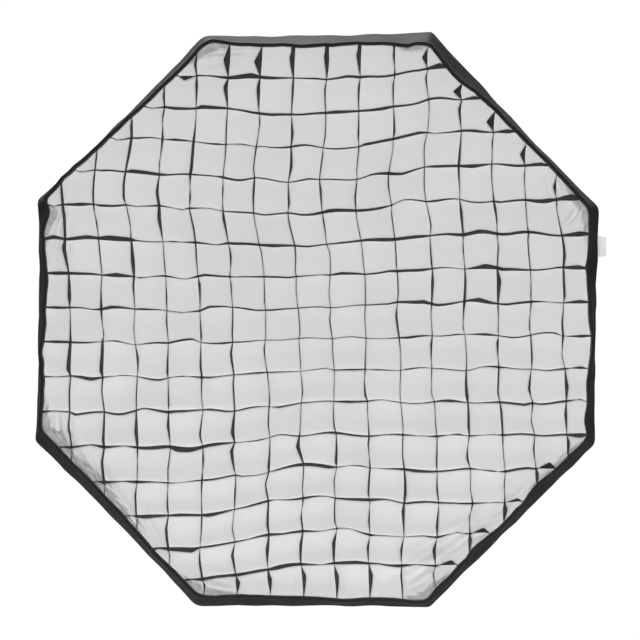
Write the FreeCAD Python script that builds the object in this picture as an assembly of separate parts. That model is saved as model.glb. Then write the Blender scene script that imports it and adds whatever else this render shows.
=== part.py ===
"""Octabox: an eight-sided softbox on spring-steel rods, with a fabric grid, two diffusers and a
turning bayonet speedring.

Row frame, in millimetres: +Y is the optical axis and points back to the lamp, +Z is up, and the
origin is the centre of the flat seat that bears on the lamp. The light leaves towards -Y.
Side panels are numbered clockwise as seen from the front, panel 1 on top. Rod n lies between
panel n and panel n + 1.
"""

import FreeCAD, Part
import math
import os

from FreeCAD import Vector

# ---- the cover: an octagonal bowl of eight fabric gores -------------------------------------
SIDES = 8
ACROSS_FLATS = 950.0
STEP_DEG = 360.0 / SIDES
HALF_DEG = STEP_DEG / 2
COS_HALF = math.cos(math.radians(HALF_DEG))
SIN_HALF = math.sin(math.radians(HALF_DEG))
APOTHEM = ACROSS_FLATS / 2
CORNER_R = APOTHEM / COS_HALF
REAR_CORNER_R = 76.0  # where the corner line would meet the speedring
REAR_Y = -17.0
FRONT_Y = -382.0
BOW_DEG = 17.0  # half the angle that a bowed rod turns through
CLOTH = 1.2  # thickness of a cover panel
COVER_START_R = 82.0  # corner radius of the cover's rear opening
SEAM_GAP = 0.05

# ---- rods and their fittings ----------------------------------------------------------------
ROD_R = 2.0
ROD_INSET = 10.5  # rod centre line to the cover's outer corner line
SOCKET_R = 6.0
SOCKET_BORE_R = 2.15
SOCKET_IN = 10.0
SOCKET_OUT = 16.0
ROD_IN_SOCKET = 8.0
ROD_END_BACK = 17.0  # rod end, measured back along the rod from the cover's front edge
TIP_R = 4.5
TIP_LEN = 18.0
TIP_WALL = 2.5
POCKET_R = 8.0
POCKET_BORE_R = 6.2
POCKET_LEN = 44.0
POCKET_FLOOR = 1.5

# ---- speedring and bayonet insert -----------------------------------------------------------
LAMP_BORE_R = 49.0
COLLAR_R = 53.0
COLLAR_LEN = 9.0
LUG_R = 59.0
LUG_THICK = 3.0
LUG_DEG = 36.0
FLANGE_R = 72.0
FLANGE_THICK = 3.0
NECK_R = 58.0
NECK_FRONT_Y = -20.0
RING_BORE_R = NECK_R + 0.08
RING_R = 72.0
RING_REAR_Y = -3.3
RING_FRONT_Y = -36.0
SCREW_Y = -8.8
SCREW_R = 2.95
SCREW_HOLE_R = 3.02
GROOVE_FLOOR_R = 56.0
GROOVE_HALF = 3.3
KNOB_R = 6.3
KNOB_START = 73.2
KNOB_LEN = 13.0
KNOB_FLUTES = 10

# ---- the rim: lip, tapes, front diffuser and grid -------------------------------------------
LIP_APOTHEM = 462.0
LIP_STRAIGHT_Y = -398.0
LIP_FRONT_Y = -440.0
TAPE = 1.5
PEEL_GAP = 0.3
BORDER_OUT = LIP_APOTHEM - CLOTH - TAPE - PEEL_GAP
BORDER = 1.5
DIFFUSER_Y = -402.0
DIFFUSER = 1.0
DIFFUSER_BORDER_FRONT_Y = -420.0
GRID_BORDER = 1.9
GRID_BORDER_REAR_Y = -421.0
GRID_PITCH = 55.0
GRID_LINES = 16
GRID_REAR_Y = -404.5
GRID_FRONT_Y = -438.5
STRIP = 0.8
SLOT = 1.4
LABEL_Z = 126.0
LABEL_SIZE = (16.0, 0.6, 34.0)

# ---- the inner baffle -----------------------------------------------------------------------
BAFFLE_Y = -202.0
BAFFLE_APOTHEM = 262.0
BAFFLE = 1.0
TAB_WIDTH = 20.0
TAB_FROM_R = 255.0
SNAP_INSET = 22.0  # snap centre, inside the rod
STUD_R = 2.2
SNAP_HOLE_R = 2.6
SNAP_CAP_R = 6.0
LOOP_YS = (-110.0, BAFFLE_Y + 1.8, -310.0)
LOOP_MARGIN = 9.0
LOOP_THICK = 1.2

Y_AXIS = Vector(0, 1, 0)
ORIGIN = Vector(0, 0, 0)


# ---- the corner line and its parallels, in a rod's own plane --------------------------------
CHORD_R = CORNER_R - REAR_CORNER_R
CHORD_Y = FRONT_Y - REAR_Y
CHORD = math.hypot(CHORD_R, CHORD_Y)
BOW = math.radians(BOW_DEG)
BOW_RADIUS = CHORD / (2 * math.sin(BOW))
ALONG = (CHORD_R / CHORD, CHORD_Y / CHORD)
OUTWARD = (-ALONG[1], ALONG[0])
BOW_CENTRE = (
    (CORNER_R + REAR_CORNER_R) / 2 - OUTWARD[0] * BOW_RADIUS * math.cos(BOW),
    (FRONT_Y + REAR_Y) / 2 - OUTWARD[1] * BOW_RADIUS * math.cos(BOW),
)


def bow_point(beta, offset=0.0):
    """(radius, y) of the corner line at angle beta from its middle, moved outward by offset."""
    reach = BOW_RADIUS + offset
    return (
        BOW_CENTRE[0] + reach * (OUTWARD[0] * math.cos(beta) + ALONG[0] * math.sin(beta)),
        BOW_CENTRE[1] + reach * (OUTWARD[1] * math.cos(beta) + ALONG[1] * math.sin(beta)),
    )


def bow_tangent(beta):
    """Unit (radius, y) direction of the corner line towards the front."""
    return (
        -OUTWARD[0] * math.sin(beta) + ALONG[0] * math.cos(beta),
        -OUTWARD[1] * math.sin(beta) + ALONG[1] * math.cos(beta),
    )


def beta_at(value, axis, offset=0.0):
    """The angle at which the line's radius (axis 0) or y (axis 1) is value."""
    low, high = -BOW, BOW
    rising = axis == 0
    for _ in range(60):
        middle = (low + high) / 2
        if (bow_point(middle, offset)[axis] < value) == rising:
            low = middle
        else:
            high = middle
    return (low + high) / 2


BETA_START = beta_at(COVER_START_R, 0)
PATCH_Y = bow_point(BOW - 80.0 / BOW_RADIUS)[1]  # where the corner patches begin
BETA_ROD_END = BOW - ROD_END_BACK / BOW_RADIUS


# ---- helpers --------------------------------------------------------------------------------
def turned(shape, degrees):
    """A copy turned about the optical axis, clockwise as seen from the front."""
    copy = shape.copy()
    copy.rotate(ORIGIN, Y_AXIS, degrees)
    return copy


def prism_y(points, y0, y1):
    """A prism along Y on a closed outline of (x, z) points."""
    outline = [Vector(x, y0, z) for x, z in points]
    face = Part.Face(Part.makePolygon(outline + outline[:1]))
    return face.extrude(Vector(0, y1 - y0, 0))


def disc(radius, y0, y1):
    return Part.makeCylinder(radius, y1 - y0, Vector(0, y0, 0), Y_AXIS)


def turned_profile(points):
    """A full revolution about the optical axis of an outline of (radius, y) points."""
    outline = [Vector(r, y, 0) for r, y in points]
    face = Part.Face(Part.makePolygon(outline + outline[:1]))
    return face.revolve(ORIGIN, Y_AXIS, 360)


def radial_cylinder(radius, start, end, y):
    """A cylinder along +Z, from start to end, at height y on the optical axis."""
    return Part.makeCylinder(radius, end - start, Vector(0, y, start), Vector(0, 0, 1))


def octagon(apothem):
    """Corners (x, z) of the octagon with a flat side on top."""
    radius = apothem / COS_HALF
    angles = [math.radians(HALF_DEG + STEP_DEG * k) for k in range(SIDES)]
    return [(radius * math.sin(a), radius * math.cos(a)) for a in angles]


def sector(gap=0.0, reach=2 * APOTHEM):
    """The wedge of space that the top side panel fills, pulled in by gap at its two edges."""
    tip = gap / SIN_HALF
    side = (reach - tip) * SIN_HALF / COS_HALF
    return prism_y([(0, tip), (side, reach), (-side, reach)], 2 * LIP_FRONT_Y, -LIP_FRONT_Y)


def beside_rod(width, reach=2 * APOTHEM):
    """The slab of space within width of rod 8's plane, on the top panel's side of it."""
    far = (reach * SIN_HALF, reach * COS_HALF)
    across = (-COS_HALF * width, SIN_HALF * width)
    return prism_y(
        [(0, 0), far, (far[0] + across[0], far[1] + across[1]), across],
        2 * LIP_FRONT_Y,
        -LIP_FRONT_Y,
    )


def side_arc(offset):
    """The cover's section line in the middle plane of the top panel, as an arc."""
    points = []
    for beta in (BETA_START, (BETA_START + BOW) / 2, BOW):
        radius, y = bow_point(beta, offset)
        points.append(Vector(0, y, radius * COS_HALF))
    return Part.Arc(*points).toShape()


def cover_slab(inner, outer, y_rear=0.0, y_front=FRONT_Y):
    """A curved slab between two offsets of the cover, wider than the top panel."""
    out, inn = side_arc(outer), side_arc(inner)
    ends = [
        Part.makeLine(out.Vertexes[k].Point, inn.Vertexes[k].Point) for k in (0, -1)
    ]
    face = Part.Face(Part.Wire(Part.__sortEdges__([out, inn, *ends])))
    face.translate(Vector(-APOTHEM / 2, 0, 0))
    slab = face.extrude(Vector(APOTHEM, 0, 0))
    kept = Part.makeBox(
        4 * APOTHEM, y_rear - y_front, 2 * APOTHEM, Vector(-2 * APOTHEM, y_front, 0)
    )
    return slab.common(kept)


def mirrored_over_rod(shape):
    """shape and its mirror image in the plane of rod 1, as one solid."""
    image = shape.mirror(ORIGIN, Vector(COS_HALF, 0, -SIN_HALF))
    return shape.fuse(image).removeSplitter()


def octagonal_band(profile):
    """A mitred eight-sided band with the section (apothem, y) given by profile."""
    outline = [Vector(-APOTHEM / 2, y, a) for a, y in profile]
    face = Part.Face(Part.makePolygon(outline + outline[:1]))
    side = face.extrude(Vector(APOTHEM, 0, 0)).common(sector())
    sides = [turned(side, STEP_DEG * k) for k in range(SIDES)]
    return sides[0].fuse(sides[1:]).removeSplitter()


def on_rod(shape, beta, shift=0.0):
    """Moves a shape made along +Z at the origin onto the rod, in rod 8's plane turned to +Z."""
    radius, y = bow_point(beta, -ROD_INSET)
    tangent = bow_tangent(beta)
    direction = Vector(0, tangent[1], tangent[0])
    placed = shape.copy()
    turn = FreeCAD.Rotation(Vector(0, 0, 1), direction)
    placed.Placement = FreeCAD.Placement(Vector(0, y, radius) + direction * shift, turn)
    return placed


def at_each_rod(shape):
    """Eight copies of a shape made in the +Z plane, one at each rod."""
    return [turned(shape, HALF_DEG + STEP_DEG * k) for k in range(SIDES)]


def group(shapes):
    return Part.makeCompound([s for shape in shapes for s in shape.Solids])


# ---- speedring ------------------------------------------------------------------------------
def bayonet_insert():
    """The lamp-side ring: neck with a groove for the screws, seat flange, collar and three lugs."""
    body = turned_profile(
        [
            (LAMP_BORE_R, NECK_FRONT_Y),
            (NECK_R - 1, NECK_FRONT_Y),
            (NECK_R, NECK_FRONT_Y + 1),
            (NECK_R, SCREW_Y - GROOVE_HALF),
            (GROOVE_FLOOR_R, SCREW_Y - GROOVE_HALF),
            (GROOVE_FLOOR_R, SCREW_Y + GROOVE_HALF),
            (NECK_R, SCREW_Y + GROOVE_HALF),
            (NECK_R, -FLANGE_THICK),
            (FLANGE_R - 0.8, -FLANGE_THICK),
            (FLANGE_R, -FLANGE_THICK + 0.8),
            (FLANGE_R, -0.6),
            (FLANGE_R - 0.6, 0),
            (COLLAR_R, 0),
            (COLLAR_R, COLLAR_LEN),
            (LAMP_BORE_R, COLLAR_LEN),
        ]
    )
    half = math.radians(LUG_DEG / 2)
    reach = 2 * LUG_R
    wedge = prism_y(
        [(0, 0), (reach * math.tan(half), reach), (-reach * math.tan(half), reach)],
        0,
        COLLAR_LEN,
    )
    rim = disc(LUG_R, COLLAR_LEN - LUG_THICK, COLLAR_LEN).cut(
        disc(COLLAR_R - 1, COLLAR_LEN - LUG_THICK, COLLAR_LEN)
    )
    lug = rim.common(wedge)
    return body.fuse([turned(lug, 120 * k) for k in range(3)]).removeSplitter()


def socket_axis(radius, start, end):
    """A cylinder on rod 1's entry line, measured from where the bowed rod begins."""
    return on_rod(Part.makeCylinder(radius, end - start), -BOW, start)


def speedring():
    """The cast outer ring, drilled for eight rod sockets and tapped for four screws."""
    body = turned_profile(
        [
            (RING_BORE_R, RING_REAR_Y),
            (RING_BORE_R, RING_FRONT_Y + 1.5),
            (RING_BORE_R + 1.5, RING_FRONT_Y),
            (RING_R - 3, RING_FRONT_Y),
            (RING_R, RING_FRONT_Y + 3),
            (RING_R, RING_REAR_Y - 1.5),
            (RING_R - 1.5, RING_REAR_Y),
        ]
    )
    sockets = at_each_rod(socket_axis(SOCKET_R + 0.03, -SOCKET_IN, SOCKET_OUT))
    tapped = radial_cylinder(SCREW_HOLE_R, RING_BORE_R - 2, RING_R + 2, SCREW_Y)
    taps = [turned(tapped, 90 * k) for k in range(4)]
    return body.cut(sockets + taps)


def rod_sockets():
    outer = socket_axis(SOCKET_R, -SOCKET_IN, SOCKET_OUT)
    bore = socket_axis(SOCKET_BORE_R, -ROD_IN_SOCKET - 0.5, SOCKET_OUT + 1)
    return group(at_each_rod(outer.cut(bore)))


def thumb_screw(index):
    """A fluted knob on a stud whose tip sits in the insert's groove."""
    tip = GROOVE_FLOOR_R + 0.3
    stud = radial_cylinder(SCREW_R, tip + 1, KNOB_START + 1, SCREW_Y)
    nose = Part.makeCone(SCREW_R - 1, SCREW_R, 1, Vector(0, SCREW_Y, tip), Vector(0, 0, 1))
    knob = radial_cylinder(KNOB_R, KNOB_START, KNOB_START + KNOB_LEN, SCREW_Y)
    knob = knob.makeChamfer(0.8, [e for e in knob.Edges if len(e.Vertexes) == 1])
    flutes = []
    for k in range(KNOB_FLUTES):
        angle = 2 * math.pi * k / KNOB_FLUTES
        centre = Vector(
            (KNOB_R + 0.5) * math.cos(angle),
            SCREW_Y + (KNOB_R + 0.5) * math.sin(angle),
            KNOB_START + 2.5,
        )
        flutes.append(Part.makeCylinder(1.1, KNOB_LEN, centre, Vector(0, 0, 1)))
    return turned(stud.fuse([nose, knob.cut(flutes)]), 90 * index)


# ---- rods -----------------------------------------------------------------------------------
def rod():
    """A spring-steel rod: straight in its socket, then bowed to the corner of the front edge."""
    radius, y = bow_point(-BOW, -ROD_INSET)
    tangent = bow_tangent(-BOW)
    circle = Part.Circle(Vector(0, y, radius), Vector(0, tangent[1], tangent[0]), ROD_R)
    face = Part.Face(Part.Wire(circle.toShape()))
    centre = Vector(0, BOW_CENTRE[1], BOW_CENTRE[0])
    swing = math.degrees(BETA_ROD_END + BOW)
    bowed = face.revolve(centre, Vector(1, 0, 0), -swing)
    if bowed.BoundBox.ZMax < APOTHEM / 2:
        bowed = face.revolve(centre, Vector(1, 0, 0), swing)
    return bowed.fuse(socket_axis(ROD_R, -ROD_IN_SOCKET, 0)).removeSplitter()


def rod_tip():
    """A moulded cap over the rod's front end."""
    body = Part.makeCylinder(TIP_R, TIP_LEN)
    body = body.makeFillet(TIP_R * 0.6, [e for e in body.Edges if e.BoundBox.ZMin > TIP_LEN - 1])
    bore = Part.makeCylinder(ROD_R + 0.12, TIP_LEN - TIP_WALL, Vector(0, 0, -1))
    return on_rod(body.cut(bore), BETA_ROD_END, -(TIP_LEN - TIP_WALL) + 1.5)


def rod_pocket():
    """The sewn pocket in a front corner that the rod tip pushes into."""
    outer = Part.makeCylinder(POCKET_R, POCKET_LEN)
    bore = Part.makeCylinder(POCKET_BORE_R, POCKET_LEN - POCKET_FLOOR, Vector(0, 0, -0.01))
    floor = TIP_WALL + 2.0
    return on_rod(outer.cut(bore), BETA_ROD_END, floor + POCKET_FLOOR - POCKET_LEN)


def rod_loop(y, inner_r):
    """A strap across a corner at one y, with a hole that the rod runs through."""
    corner = bow_point(beta_at(y - LOOP_THICK, 1), 0)[0] - 3.2
    half = TAB_WIDTH / 2
    shoulder = corner - half * SIN_HALF / COS_HALF
    strap = prism_y(
        [(-half, inner_r), (half, inner_r), (half, shoulder - 2), (0, corner - 2), (-half, shoulder - 2)],
        y - LOOP_THICK,
        y,
    )
    beta = beta_at(y, 1, -ROD_INSET)
    passage = on_rod(Part.makeCylinder(ROD_R + 0.6, 20), beta, -10)
    return strap.cut(passage)


def rod_radius_at(y):
    return bow_point(beta_at(y, 1, -ROD_INSET), -ROD_INSET)[0]


def snap_radius():
    return rod_radius_at(BAFFLE_Y) - SNAP_INSET


def rod_loops():
    """Three rows of straps that keep the rods in the corners; the middle row carries snaps."""
    straps = []
    for y in LOOP_YS:
        margin = SNAP_INSET + LOOP_MARGIN if y == LOOP_YS[1] else LOOP_MARGIN
        straps += at_each_rod(rod_loop(y, rod_radius_at(y) - margin))
    return group(straps)


# ---- cover ----------------------------------------------------------------------------------
def gore():
    return cover_slab(-CLOTH, 0).common(sector(SEAM_GAP))


def seam_binding():
    """Webbing folded over the seam between two gores, as far as the corner patch."""
    half = cover_slab(SEAM_GAP, 0.9, y_front=PATCH_Y + 0.2).common(beside_rod(12))
    return mirrored_over_rod(half)


def corner_patch():
    """A stiffened patch outside a front corner, over the rod pocket."""
    half = cover_slab(SEAM_GAP, 1.3, y_rear=PATCH_Y).common(beside_rod(40))
    return mirrored_over_rod(half)


def rear_cuff():
    """The elastic hem that grips the speedring between the screws and the rod sockets."""
    return disc(RING_R + 3.0, -20.5, -15.4).cut(disc(RING_R + 0.3, -21, -15))


def front_lip():
    """The collar that carries the cover forward past the rods, to take diffuser and grid."""
    return octagonal_band(
        [
            (APOTHEM, FRONT_Y - 0.3),
            (LIP_APOTHEM, LIP_STRAIGHT_Y),
            (LIP_APOTHEM, LIP_FRONT_Y),
            (LIP_APOTHEM - CLOTH, LIP_FRONT_Y),
            (LIP_APOTHEM - CLOTH, LIP_STRAIGHT_Y),
            (APOTHEM - CLOTH, FRONT_Y - 0.3),
        ]
    )


def straight_band(outer, thickness, y0, y1):
    inner = outer - thickness
    return octagonal_band([(outer, y0), (outer, y1), (inner, y1), (inner, y0)])


def label_tab():
    """A blank woven tab sewn into the right-hand edge."""
    length, thickness, height = LABEL_SIZE
    y = (FRONT_Y + LIP_STRAIGHT_Y) / 2
    slope = (APOTHEM - LIP_APOTHEM) / (FRONT_Y - LIP_STRAIGHT_Y)
    root = LIP_APOTHEM + (y + thickness - LIP_STRAIGHT_Y) * slope + 0.1
    return Part.makeBox(length, thickness, height, Vector(root, y, LABEL_Z - height / 2))


# ---- diffusers ------------------------------------------------------------------------------
def front_diffuser():
    return prism_y(octagon(BORDER_OUT - BORDER), DIFFUSER_Y - DIFFUSER, DIFFUSER_Y)


def baffle_sheet():
    return prism_y(octagon(BAFFLE_APOTHEM), BAFFLE_Y - BAFFLE, BAFFLE_Y)


def baffle_tab():
    """An elastic tab on the front of the baffle, with an eye for the snap."""
    half, end = TAB_WIDTH / 2, snap_radius() + LOOP_MARGIN
    front = BAFFLE_Y - BAFFLE
    strap = prism_y(
        [(-half, TAB_FROM_R), (half, TAB_FROM_R), (half, end), (-half, end)], front - 1, front
    )
    return strap.cut(snap_cylinder(SNAP_HOLE_R, front - 2, front + 1))


def snap_cylinder(radius, y0, y1):
    return Part.makeCylinder(radius, y1 - y0, Vector(0, y0, snap_radius()), Y_AXIS)


def snap_stud():
    """The press stud on the rod strap, standing forward through the tab."""
    base = LOOP_YS[1] - LOOP_THICK
    post = snap_cylinder(STUD_R, BAFFLE_Y - BAFFLE - 2.2, base)
    flange = snap_cylinder(SNAP_CAP_R - 1, base - 0.6, base)
    return post.fuse(flange).removeSplitter()


def snap_cap():
    """The domed cap on the tab that clicks over the stud."""
    rear = BAFFLE_Y - BAFFLE - 1
    cap = snap_cylinder(SNAP_CAP_R, rear - 2.6, rear)
    cap = cap.makeFillet(1.2, [e for e in cap.Edges if e.BoundBox.YMax < rear - 2])
    return cap.cut(snap_cylinder(SNAP_HOLE_R, rear - 1.5, rear + 1))


# ---- grid -----------------------------------------------------------------------------------
def grid_positions():
    return [(k - (GRID_LINES - 1) / 2) * GRID_PITCH for k in range(GRID_LINES)]


def strip_half_length(position):
    inner = BORDER_OUT - GRID_BORDER
    return min(inner, inner * math.sqrt(2) - abs(position) - STRIP)


def comb_outline(half_length, slots_from, slots_to):
    """(along, y) outline of a strip with a slot at every crossing."""
    opposite = GRID_REAR_Y + GRID_FRONT_Y - slots_from
    outline = [(-half_length, opposite), (-half_length, slots_from)]
    for crossing in grid_positions():
        if abs(crossing) < half_length - SLOT:
            left, right = crossing - SLOT / 2, crossing + SLOT / 2
            outline += [(left, slots_from), (left, slots_to), (right, slots_to), (right, slots_from)]
    return outline + [(half_length, slots_from), (half_length, opposite)]


def grid_strips(vertical):
    """All the strips of one direction; upright ones are slotted in front, level ones behind."""
    middle = (GRID_REAR_Y + GRID_FRONT_Y) / 2
    start = GRID_FRONT_Y if vertical else GRID_REAR_Y
    stop = middle + (0.3 if vertical else -0.3)
    strips = []
    for position in grid_positions():
        outline = comb_outline(strip_half_length(position), start, stop)
        if vertical:
            points = [Vector(position - STRIP / 2, y, s) for s, y in outline]
            thickness = Vector(STRIP, 0, 0)
        else:
            points = [Vector(s, y, position - STRIP / 2) for s, y in outline]
            thickness = Vector(0, 0, STRIP)
        strips.append(Part.Face(Part.makePolygon(points + points[:1])).extrude(thickness))
    return group(strips)


# ---- all pieces -----------------------------------------------------------------------------
def pieces():
    made = {
        "bayonet_insert": bayonet_insert(),
        "speedring": speedring(),
        "rod_sockets": rod_sockets(),
        "rod_tips": group(at_each_rod(rod_tip())),
        "rod_loops": rod_loops(),
        "corner_patches": group([turned(corner_patch(), STEP_DEG * k) for k in range(SIDES)]),
        "rear_cuff": rear_cuff(),
        "front_lip": front_lip(),
        "lip_loop_tape": straight_band(
            LIP_APOTHEM - CLOTH, TAPE, LIP_STRAIGHT_Y - 1, LIP_FRONT_Y
        ),
        "label_tab": label_tab(),
        "front_diffuser": front_diffuser(),
        "diffuser_border": straight_band(
            BORDER_OUT, BORDER, DIFFUSER_Y, DIFFUSER_BORDER_FRONT_Y
        ),
        "baffle_sheet": baffle_sheet(),
        "baffle_tabs": group(at_each_rod(baffle_tab())),
        "snap_studs": group(at_each_rod(snap_stud())),
        "snap_caps": group(at_each_rod(snap_cap())),
        "grid_border": straight_band(
            BORDER_OUT, GRID_BORDER, GRID_BORDER_REAR_Y, LIP_FRONT_Y
        ),
        "grid_strips_upright": grid_strips(True),
        "grid_strips_level": grid_strips(False),
    }
    panel, binding, pole, pocket = gore(), seam_binding(), rod(), rod_pocket()
    for k in range(SIDES):
        number = k + 1
        made[f"gore_{number}"] = turned(panel, STEP_DEG * k)
        made[f"seam_binding_{number}"] = turned(binding, STEP_DEG * k)
        made[f"rod_{number}"] = turned(pole, HALF_DEG + STEP_DEG * k)
        made[f"rod_pocket_{number}"] = turned(pocket, HALF_DEG + STEP_DEG * k)
    for k in range(4):
        made[f"thumb_screw_{k + 1}"] = thumb_screw(k)
    return made


def main():
    os.makedirs("parts", exist_ok=True)
    for name, shape in pieces().items():
        bad = not shape.isValid() or any(solid.Volume <= 0 for solid in shape.Solids)
        if bad or not shape.Solids:
            raise RuntimeError(f"{name} isn't a sound solid")
        shape.exportStep(f"parts/{name}.step")
    print(f"snap radius {snap_radius():.1f}, cover radius at the baffle "
          f"{bow_point(beta_at(BAFFLE_Y, 1))[0]:.1f}")


main()
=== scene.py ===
"""Looks of the octabox: cloth, webbing, tapes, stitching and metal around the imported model.

Metres, in the model's own frame: +Y points back to the lamp, +Z is up, light leaves to -Y.
"""

import math

import bpy
import numpy as np
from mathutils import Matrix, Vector


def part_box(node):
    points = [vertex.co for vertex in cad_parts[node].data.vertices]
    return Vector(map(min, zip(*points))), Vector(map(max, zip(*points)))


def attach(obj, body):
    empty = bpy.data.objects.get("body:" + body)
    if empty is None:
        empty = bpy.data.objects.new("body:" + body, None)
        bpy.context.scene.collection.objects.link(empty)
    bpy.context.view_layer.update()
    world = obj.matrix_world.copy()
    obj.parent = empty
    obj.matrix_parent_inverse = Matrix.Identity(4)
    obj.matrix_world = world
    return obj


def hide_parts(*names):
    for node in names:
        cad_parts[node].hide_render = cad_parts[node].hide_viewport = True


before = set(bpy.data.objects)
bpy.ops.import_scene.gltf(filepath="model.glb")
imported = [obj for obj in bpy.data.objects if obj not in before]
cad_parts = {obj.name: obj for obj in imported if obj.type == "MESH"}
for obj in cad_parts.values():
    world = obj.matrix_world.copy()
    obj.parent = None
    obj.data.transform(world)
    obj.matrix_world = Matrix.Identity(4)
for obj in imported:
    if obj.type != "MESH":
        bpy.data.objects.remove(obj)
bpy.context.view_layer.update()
SCENE = bpy.context.scene

# ---- the cover's shape, as in the model ----
TAN = math.tan(math.pi / 8)
COS = math.cos(math.pi / 8)
EDGE = 0.475  # from the axis to a flat side, at the shoulder
CORNER_R = EDGE / COS
REAR_CORNER_R = 0.076
REAR_Y, FRONT_Y = -0.017, -0.382  # of the corner line, which ends at the shoulder
BOW = math.radians(17.0)  # half the angle of a bowed rod's arc
ROD_INSET = 0.0105  # from the corner line in to a rod's centre line
ROD_END = 0.017  # how far short of the corner line's end a rod ends
CLOTH = 0.0012
RIM_SLACK = 0.0045  # how much further out than packed the rim's soft bands stand
BORDER_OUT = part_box("grid_border")[1].z + RIM_SLACK
LIP = BORDER_OUT + 0.003
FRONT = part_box("front_lip")[0].y
DIFFUSER_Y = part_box("front_diffuser")[1].y
GRID_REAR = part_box("grid_strips_upright")[1].y
GRID_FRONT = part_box("grid_strips_upright")[0].y
BORDER_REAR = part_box("grid_border")[1].y
BAFFLE_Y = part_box("baffle_sheet")[1].y
BAFFLE_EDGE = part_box("baffle_sheet")[1].z

CHORD_R, CHORD_Y = CORNER_R - REAR_CORNER_R, FRONT_Y - REAR_Y
CHORD = math.hypot(CHORD_R, CHORD_Y)
BOW_RADIUS = CHORD / (2 * math.sin(BOW))
ALONG = np.array([CHORD_R, CHORD_Y]) / CHORD
OUTWARD = np.array([-ALONG[1], ALONG[0]])
CHORD_MIDDLE = np.array([CORNER_R + REAR_CORNER_R, FRONT_Y + REAR_Y]) / 2
BOW_CENTRE = CHORD_MIDDLE - OUTWARD * BOW_RADIUS * math.cos(BOW)


def corner_line(beta, offset=0.0):
    """(radius, y) on the cover's corner line; beta may be an array."""
    beta = np.asarray(beta, float)[..., None]
    reach = BOW_RADIUS + offset
    return BOW_CENTRE + reach * (OUTWARD * np.cos(beta) + ALONG * np.sin(beta))


def beta_where(value, axis, offset=0.0):
    """The angle at which the corner line's radius (axis 0) or y (axis 1) is value."""
    betas = np.linspace(-BOW, BOW, 4001)
    line = corner_line(betas, offset)[:, axis]
    return float(betas[np.argmin(np.abs(line - value))])


def eight(name):
    return [f"{name}_{n}" for n in range(1, 9)]


# ---- fields ----
def smooth(t):
    t = np.clip(t, 0.0, 1.0)
    return t * t * (3 - 2 * t)


def waves(points, length, seed, count=14):
    """A smooth random field of unit spread, with bumps about length apart."""
    rng = np.random.default_rng(seed)
    points = np.asarray(points, float)
    total = np.zeros(points.shape[:-1])
    for _ in range(count):
        direction = rng.normal(size=points.shape[-1])
        direction /= np.linalg.norm(direction)
        turns = 2 * math.pi / (length * rng.uniform(0.7, 1.7))
        total += np.sin(points @ direction * turns + rng.uniform(0, 2 * math.pi))
    return total / math.sqrt(count / 2)


def side_of(x, z):
    """Which flat side faces a point, the distance out along it and the place across it."""
    side = np.round(np.degrees(np.arctan2(x, z)) / 45) % 8
    phi = np.radians(side * 45)
    out = x * np.sin(phi) + z * np.cos(phi)
    across = x * np.cos(phi) - z * np.sin(phi)
    return side.astype(int), out, across


# How far the front corners stand from their places in a regular octagon, clockwise from the
# one right of the top, in millimetres to the right and up: at the shoulder and at the lip.
SHOULDER_SHIFT = ((-1, 15), (3, -4), (-4, -10), (-5, -8), (-6, -6), (0, -5), (4, 9), (6, 9))
LIP_SHIFT = ((-1, 7), (-1, 0), (-5, -4), (-7, -6), (-6, 0), (-1, 10), (3, 12), (5, 5))
# How round each of these corners is, as a share of the usual rounding.
CORNER_ROUND = np.array([0.9, 1.2, 1.1, 1.0, 1.5, 1.0, 1.0, 1.9])
# How far the shoulder of each side is drawn in between its two rods, in millimetres, clockwise
# from the top.
SIDE_SAG = (3.7, 3.0, 2.0, 0.9, 1.7, 3.2, 4.3, 4.4)
# Where the rim's cloth bulges: side, place along it, spread and push outward, in millimetres.
RIM_BULGES = (
    (1, -127, 34, -9.0), (0, -176, 16, 6.0), (0, -20, 60, -2.5), (0, 152, 10, -4.0),
    (7, -135, 30, 4.0), (7, 120, 26, -3.0), (2, -85, 30, -3.5), (2, 34, 25, 5.0),
    (2, 170, 16, -4.0), (3, -68, 20, -4.5), (3, -34, 8, 5.0), (3, 84, 14, -3.0),
    (6, 68, 20, -5.0), (6, -50, 10, 5.0), (6, 188, 13, -11.0), (4, -160, 20, 4.0),
    (4, 100, 40, -2.5), (5, -100, 30, 3.0), (6, 10, 80, -3.6), (1, 30, 60, 1.5),
    (2, 10, 50, 1.2), (0, 0, 90, -1.4),
)
# Where along -y the corners' pull, the lip's own shift and the bulges set in, and over what length.
PULL_FROM, PULL_OVER = 0.290, 0.095
LIP_FROM, LIP_OVER = 0.384, 0.022
BULGE_FROM, BULGE_OVER = 0.382, 0.024


def settle(points):
    """Moves cloth near the front edge as the slightly uneven rods and the slack rim pull it."""
    points = np.array(points, float)
    x, y, z = points[..., 0], points[..., 1], points[..., 2]
    side, out, across = side_of(x, z)
    f = np.clip((across / np.maximum(out * TAN, 1e-6) + 1) / 2, 0, 1)[..., None]
    ahead = smooth((-y - PULL_FROM) / PULL_OVER)
    lip_share = smooth((-y - LIP_FROM) / LIP_OVER)[..., None]
    shift = 0.0
    for table, share in ((SHOULDER_SHIFT, 1 - lip_share), (LIP_SHIFT, lip_share)):
        table = 0.001 * np.array(table)
        shift = shift + share * ((1 - f) * table[side - 1] + f * table[side])
    between = (1 - (2 * f[..., 0] - 1) ** 4) * ahead * (1 - lip_share[..., 0])
    draw = 0.001 * np.array(SIDE_SAG)[side] + 0.0007 * waves(np.stack([x, z], -1), 0.05, 8)
    normal = np.stack([np.sin(np.radians(side * 45)), np.cos(np.radians(side * 45))], -1)
    pull = shift * (out / EDGE * ahead)[..., None]
    points[..., [0, 2]] += pull - normal * (draw * between)[..., None]
    return points


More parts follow.
